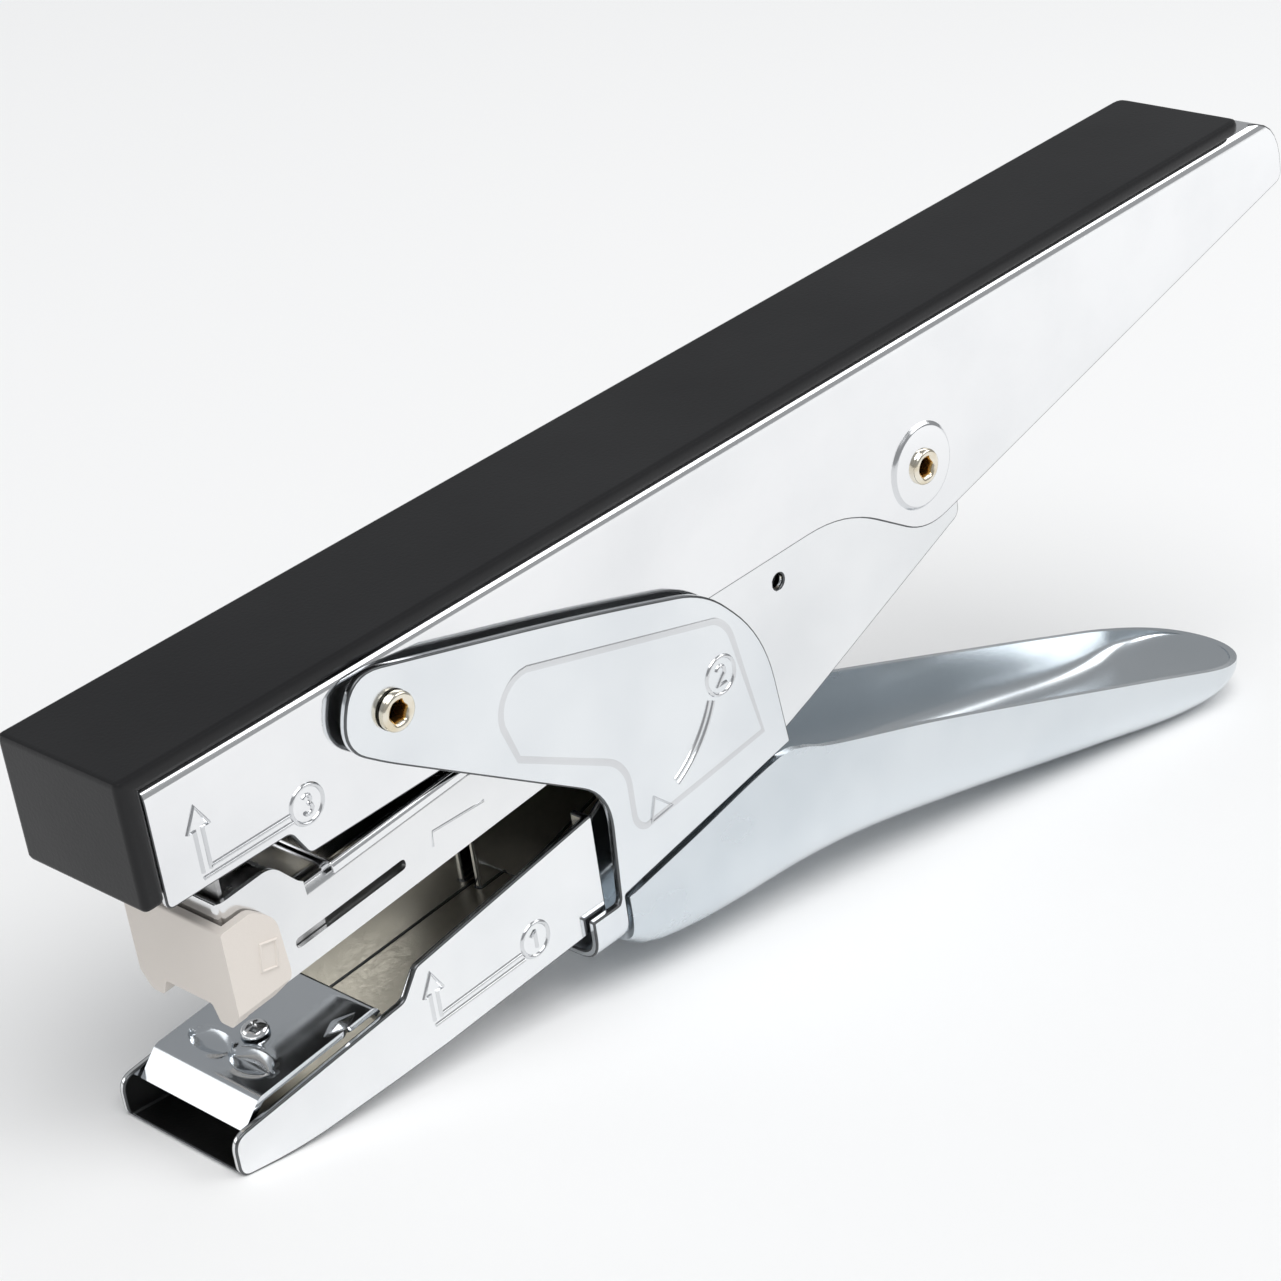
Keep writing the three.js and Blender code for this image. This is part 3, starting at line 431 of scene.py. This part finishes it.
rounded("top_cap", "black_plastic", edge=0.5)
# Housing, bracket and jaw get painted shade lines along their rounded edges.
rounded("upper_housing", "chrome", edge=0.22, edge_shade="painted_shade_edge")
rounded("handle_bracket", "handle_chrome", edge=0.25, edge_shade="painted_shade_edge")
jaw = rounded("anvil_arm", "jaw_chrome", edge=0.25, edge_shade="painted_shade_edge")
# The jaw's inside floor takes the pale plating with its painted shade under the anvil.
jaw.data.materials.append(FINISH["jaw_inside"])
for face in jaw.data.polygons:
    if face.normal.z > 0.8 and abs(face.center.y) < (JAW_HALF - 2 * SHEET) * MM:
        face.material_index = len(jaw.data.materials) - 1
rounded("magazine_body", "magazine_chrome", edge=0.15)
rounded("magazine_cover", "chrome", edge=0.1)
rounded("nosepiece", "warm_plastic", edge=0.45)
for node in ("front_washer_near", "front_washer_far", "rear_bush", "rail_pin", "pusher_rod"):
    rounded(node, "inner_steel", edge=0.08)
for node in ("staple_rail", "pusher", "driver_carrier", "driver_blade"):
    rounded(node, "inner_steel", edge=0.12)
for node in ("jaw_spring", "magazine_spring", "pusher_spring"):
    rounded(node, "spring_steel", edge=0.05)

# Trough: its flanks follow the bracket's seam, then a straight rim to the round tip
TROUGH_FRONT = 64.9
TROUGH_TIP = 201.5
TROUGH_TIP_LENGTH = 17.0
TROUGH_SHEET = 1.0
SEAM_FRONT = Vector((64.5, -50.6))
SEAM_REAR = Vector((96.2, -45.4))
SEAM_DROP = 0.5
RIM = [(0.02, 1.9), (0.06, 3.9), (0.27, 11.7), (0.69, 28.6), (0.9, 37.1), (1.0, 40.4)]
BOTTOM = [(0.1, 22.4), (0.33, 28.4), (0.61, 36.6), (0.81, 42.0), (1.0, 43.2)]
BOTTOM_FRONT = [(-2.0, -57.0), (0.0, -58.6), (3.0, -61.0), (8.0, -62.9), (18.3, -64.9)]


def along_trough(stations):
    """Points [x, z] from (share of the way from the seam to the tip, drop below the seam)."""
    span = TROUGH_TIP - SEAM_REAR.x
    return [(SEAM_REAR.x + share * span, SEAM_REAR.y - drop) for share, drop in stations]


def smooth_line(points, x):
    """Height at x of a smooth line through points [x, z]."""
    i = max(1, next((k for k, point in enumerate(points) if point[0] >= x), len(points) - 1))
    (x0, z0), (x1, z1) = points[i - 1], points[i]
    before = points[max(0, i - 2)]
    after = points[min(len(points) - 1, i + 1)]
    t = min(1.0, max(0.0, (x - x0) / (x1 - x0)))
    slope_0 = (z1 - before[1]) / (x1 - before[0]) * (x1 - x0)
    slope_1 = (after[1] - z0) / (after[0] - x0) * (x1 - x0)
    bend = (t**3 - 2 * t**2 + t) * slope_0 + (t**3 - t**2) * slope_1
    return (2 * t**3 - 3 * t**2 + 1) * z0 + (3 * t**2 - 2 * t**3) * z1 + bend


def trough():
    seam_slope = (SEAM_REAR.y - SEAM_FRONT.y) / (SEAM_REAR.x - SEAM_FRONT.x)
    under_seam = [
        (x, SEAM_FRONT.y + (x - SEAM_FRONT.x) * seam_slope - SEAM_DROP)
        for x in (TROUGH_FRONT - 2, TROUGH_FRONT + 12, SEAM_REAR.x - 2)
    ]
    rim_line = under_seam + along_trough(RIM)
    bottom_line = [(TROUGH_FRONT + x, z) for x, z in BOTTOM_FRONT] + along_trough(BOTTOM)
    rows = []
    stations, around = 90, 56
    for i in range(stations):
        share = i / stations
        x = TROUGH_FRONT + (TROUGH_TIP - TROUGH_FRONT) * (1 - (1 - share) ** 2)
        to_tip = max(0.0, (x - TROUGH_TIP) / TROUGH_TIP_LENGTH + 1)
        round_end = math.sqrt(max(0.0, 1 - to_tip**2.4))
        rim = smooth_line(rim_line, x)
        depth = (rim - smooth_line(bottom_line, x)) * round_end
        squareness = 0.38 + 0.3 * share
        row = []
        for j in range(around + 1):
            angle = math.pi * (j / around - 0.5)
            across = math.copysign(abs(math.sin(angle)) ** squareness, angle)
            drop = max(0.0, math.cos(angle)) ** squareness
            row.append((x, TROUGH_HALF * round_end * across, rim - depth * drop))
        rows.append(row)
    rows.append([(TROUGH_TIP, 0.0, smooth_line(rim_line, TROUGH_TIP))] * (around + 1))
    shape = bmesh.new()
    grid(shape, rows)
    bmesh.ops.remove_doubles(shape, verts=shape.verts, dist=0.001)
    finish = "satin_chrome"
    piece = build("handle_trough_piece", shape, LEVEL, "lower_handle", finish, 80.0)
    sheet = piece.modifiers.new("sheet", "SOLIDIFY")
    sheet.thickness = TROUGH_SHEET * MM
    lowest = min(piece.data.polygons, key=lambda face: face.center.z)
    sheet.offset = -1 if lowest.normal.z < 0 else 1
    edge = piece.modifiers.new("rim", "BEVEL")
    edge.width = 0.35 * MM
    edge.segments = 3
    edge.limit_method = "ANGLE"
    edge.angle_limit = math.radians(60)
    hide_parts("handle_trough")


trough()

# Rivets: rolled over at both ends, brass-coloured and crimped to a star inside
RIVET_RADIUS = 1.9
RIVET_HEAD = 2.4
RIVET_STAND = 0.3
RIVET_PROUD = 1.2
BRASS_REACH = 1.42  # the bore and its rim are brass-coloured up to here


def rivet(node, middle, half):
    end = [
        (RIVET_RADIUS, half + RIVET_STAND, False),
        (RIVET_HEAD, half + RIVET_STAND, False),
        (RIVET_HEAD, half + 0.82, False),
        (RIVET_HEAD - 0.14, half + 1.08, False),
        (RIVET_HEAD - 0.42, half + RIVET_PROUD, False),
        (RIVET_HEAD - 0.74, half + 1.12, False),
        (RIVET_HEAD - 0.94, half + 0.88, True),
        (1.3, half + 0.4, True),
        (1.25, half - 1.6, True),
    ]
    profile = end + [(radius, -y, inner) for radius, y, inner in reversed(end)]
    shape = bmesh.new()
    lathe(shape, profile, middle, lobes=0.16)
    piece = build(node + "_piece", shape, LEVEL, BODY_OF[node], "rivet", 50.0)
    piece.data.materials.append(FINISH["rivet_brass"])
    axis = LEVEL @ middle
    for face in piece.data.polygons:
        reach = math.hypot(face.center.x - axis.x, face.center.z - axis.z)
        face.material_index = int(reach < BRASS_REACH * MM)
    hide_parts(node)


rivet("front_rivet", FRONT_PIVOT, HANDLE_HALF)
rivet("rear_rivet", REAR_PIVOT, HOUSING_HALF)

# The raised round seat of the rear rivet, on both sides of the housing
SEAT_RADIUS = 5.7
SEAT_RISE = 0.45
SEAT_SLOPE = 0.4  # where the seat's sloping edge starts, inside its radius


def rivet_seat(name, side):
    face = side * HOUSING_HALF
    rise = side * SEAT_RISE
    profile = [
        (RIVET_RADIUS + 0.2, face - rise / 4, False),
        (RIVET_RADIUS + 0.2, face + rise, False),
        (SEAT_RADIUS - 0.35, face + rise, False),
        (SEAT_RADIUS - 0.2, face + 0.93 * rise, False),
        (SEAT_RADIUS, face + rise / 2, False),
        (SEAT_RADIUS + 0.2, face + 0.07 * rise, False),
        (SEAT_RADIUS + 0.35, face - rise / 4, False),
    ]
    shape = bmesh.new()
    lathe(shape, profile, REAR_PIVOT, segments=64)
    seat = build(name, shape, LEVEL, "upper_handle", "chrome", 60.0)
    # The seat's sloping edge takes the darker chrome: a painted shade ring.
    seat.data.materials.append(FINISH["painted_shade_chrome"])
    axis = LEVEL @ REAR_PIVOT
    for face in seat.data.polygons:
        reach = math.hypot(face.center.x - axis.x, face.center.z - axis.z)
        face.material_index = int(reach > (SEAT_RADIUS - SEAT_SLOPE) * MM)


rivet_seat("rivet_seat_near", -1)
rivet_seat("rivet_seat_far", 1)

# Anvil: lip in front, rolled rear edge, two pointed grooves that meet in a bow tie, a pressed-up tab
ANVIL_LENGTH = 18.6
ANVIL_LIP = Vector((-3.1, -2.7))
ANVIL_REAR_ROLL = 1.9
ANVIL_SHEET = 0.8
GROOVE_LINE = 3.8
GROOVE_REACH = 3.5
GROOVE_WIDTH = 1.7
GROOVE_DEPTH = 0.6
TAB_PLACE = Vector((13.6, -7.9))
FINE_REACH = 3.2  # rows of the mesh are closest up to this far behind the groove line


def pressed_height(x, y):
    """How far the anvil's top is pressed up or down at x, y."""
    along = (abs(y) - GROOVE_REACH) / (GROOVE_REACH - 0.05)
    breadth = GROOVE_WIDTH * max(0.0, 1 - along * along) ** 0.6 + 0.15
    away = abs(x - GROOVE_LINE) / breadth
    past_end = max(0.0, abs(along) - 1) * GROOVE_REACH
    groove = -GROOVE_DEPTH * max(0.0, 1 - away**2) * math.exp(-((past_end / 0.3) ** 2))
    lip_reach = math.hypot(max(0.0, abs(x - GROOVE_LINE) - breadth), past_end)
    lip = 0.22 * math.exp(-((lip_reach / 0.55) ** 2)) * min(1.0, away)
    tab = max(0.0, 1 - abs(x - TAB_PLACE.x) / 2.4 - abs(y - TAB_PLACE.y) / 1.3)
    return groove + lip + 0.6 * tab


def anvil_rows():
    lip_turn = math.atan2(-ANVIL_LIP.y, -ANVIL_LIP.x)
    lip_radius = 1.8
    rear_radius = 1.3
    start = lip_radius * math.tan(lip_turn / 2)
    line = [ANVIL_LIP]
    for i in range(9):
        angle = lip_turn * (1 - i / 8)
        line.append(Vector((start - lip_radius * math.sin(angle), lip_radius * (math.cos(angle) - 1))))
    flat_end = ANVIL_LENGTH - rear_radius
    groove_end = GROOVE_LINE + FINE_REACH
    line += [Vector((start + (groove_end - start) * i / 60, 0)) for i in range(1, 60)]
    line += [Vector((groove_end + (flat_end - groove_end) * i / 40, 0)) for i in range(41)]
    for i in range(1, 9):
        angle = math.pi / 2 * i / 8
        line.append(Vector((flat_end + rear_radius * math.sin(angle), rear_radius * (math.cos(angle) - 1))))
    line.append(Vector((ANVIL_LENGTH, -ANVIL_REAR_ROLL)))
    columns = 150
    rows = []
    for point in line:
        is_flat = start < point.x < flat_end
        row = []
        for i in range(columns + 1):
            y = ANVIL_HALF * (2 * i / columns - 1)
            row.append((point.x, y, point.y + (pressed_height(point.x, y) if is_flat else 0)))
        rows.append(row)
    return rows


def anvil():
    shape = bmesh.new()
    grid(shape, anvil_rows())
    piece = build("anvil_plate_piece", shape, ANVIL, "jaw", "anvil_chrome", 40.0)
    below = piece.modifiers.new("sheet", "SOLIDIFY")
    below.thickness = ANVIL_SHEET * MM
    below.offset = -1 if piece.data.polygons[0].normal.z > 0 else 1
    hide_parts("anvil_plate")


def anvil_dome():
    """The rivet's domed head, with a shallow cross pressed in it."""
    place, radius, stand, tall, foot = 7.6, 1.75, 0.3, 1.1, 7.4
    shape = bmesh.new()
    rings = []
    for row in range(11):
        share = row / 10
        ring = []
        for i in range(48):
            angle = 2 * math.pi * i / 48
            reach = radius * math.cos(share * math.pi / 2)
            x, y = reach * math.cos(angle), reach * math.sin(angle)
            cross = math.exp(-((min(abs(x), abs(y)) / 0.16) ** 2)) * math.exp(-((reach / 0.8) ** 2))
            top = stand + tall * math.sin(share * math.pi / 2) - 0.28 * cross
            ring.append(shape.verts.new((place + x, y, top)))
        rings.append(ring)
    shank = [shape.verts.new((v.co.x * 0.5 + place * 0.5, v.co.y * 0.5, stand)) for v in rings[0]]
    end = [shape.verts.new((v.co.x, v.co.y, -foot)) for v in shank]
    for one, two in zip([end, shank, *rings], [shank, *rings]):
        for a, b, c, d in zip(one, one[1:] + one[:1], two[1:] + two[:1], two):
            shape.faces.new((a, b, c, d))
    shape.faces.new(end)
    bmesh.ops.remove_doubles(shape, verts=shape.verts, dist=0.001)
    piece = build("anvil_rivet_piece", shape, ANVIL, "jaw", "jaw_chrome", 50.0)
    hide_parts("anvil_rivet")


anvil()
anvil_dome()

# Pressed marks: arrows, lines and circled numbers, all but the nose mark in the darker chrome that paints
# their shade
ONE = [(-0.55, 0.45), (0.1, 1.05), (0.1, -1.05)]
TWO = arc((0, 0.45), 0.62, 160, -40, 8) + [(-0.65, -1.05), (0.7, -1.05)]
THREE = arc((0, 0.5), 0.52, 150, -80, 8) + arc((0, -0.52), 0.58, 80, -150, 8)


def arrow_up(x, low, high):
    """The outline of an arrow that points up."""
    stem, head, tall = 0.55, 1.5, 2.8
    return [
        (x - stem, low),
        (x - stem, high - tall),
        (x - head, high - tall),
        (x, high),
        (x + head, high - tall),
        (x + stem, high - tall),
        (x + stem, low),
    ]


def numbered(middle, radius, digit, size=1.0):
    return [(arc(middle, radius, 0, 350, 35), True), (moved(digit, middle, size), False)]


marks(
    "housing_marks",
    "upper_housing",
    HOUSING_HALF,
    [
        (arrow_up(8.1, -15.6, -7.6), False),
        ([(8.6, -15.3), (19.9, -15.3)], False),
        ([(7.5, -16.3), (20.3, -16.3)], False),
        *numbered((22.5, -15.2), 2.3, THREE, 1.1),
    ],
    width=0.6,
    height=0.3,
)
marks(
    "jaw_marks",
    "anvil_arm",
    JAW_HALF,
    [
        (arrow_up(34.0, -50.6, -44.2), False),
        ([(34.6, -50.3), (47.9, -49.9)], False),
        ([(33.5, -51.3), (48.3, -50.9)], False),
        *numbered((50.4, -49.2), 2.2, ONE, 1.1),
    ],
    width=0.6,
    height=0.3,
)
marks(
    "bracket_marks",
    "handle_bracket",
    HANDLE_HALF,
    [
        (arc((68.3, -25.2), 17.3, -64, -27, 16), False),
        (arc((68.3, -25.2), 16.4, -64, -27, 16), False),
        ([(70.6, -43.4), (71.6, -40.4), (74.4, -43.0)], True),
        *numbered((85.5, -30.4), 2.5, TWO, 1.2),
    ],
    width=0.6,
    height=0.3,
)
marks(
    "bracket_panel",
    "handle_bracket",
    HANDLE_HALF,
    [
        (
            arc((54.5, -18.6), 4.6, 190, 85, 8)
            + arc((83, -27.6), 5.4, 62, 12, 8)
            + [(91.6, -41.4)]
            + arc((70.6, -41), 2.6, 250, 180, 6)
            + arc((62.2, -37), 5.8, 5, 60, 8)
            + [(51.6, -24.4)],
            True,
        )
    ],
    width=1.1,
    height=0.12,
)
marks(
    "magazine_marks",
    "magazine_body",
    MAGAZINE_HALF,
    [([(40.4, -31.6), (40.7, -29.7), (49.0, -30.0)], False)],
    width=0.45,
    height=0.12,
)
marks(
    "nose_mark",
    "nosepiece",
    half_width("nosepiece"),
    [([(13.2, -28.6), (15.4, -29.1), (14.9, -32.4), (12.7, -31.9)], True)],
    width=0.6,
    height=0.25,
    finish="warm_plastic",
)
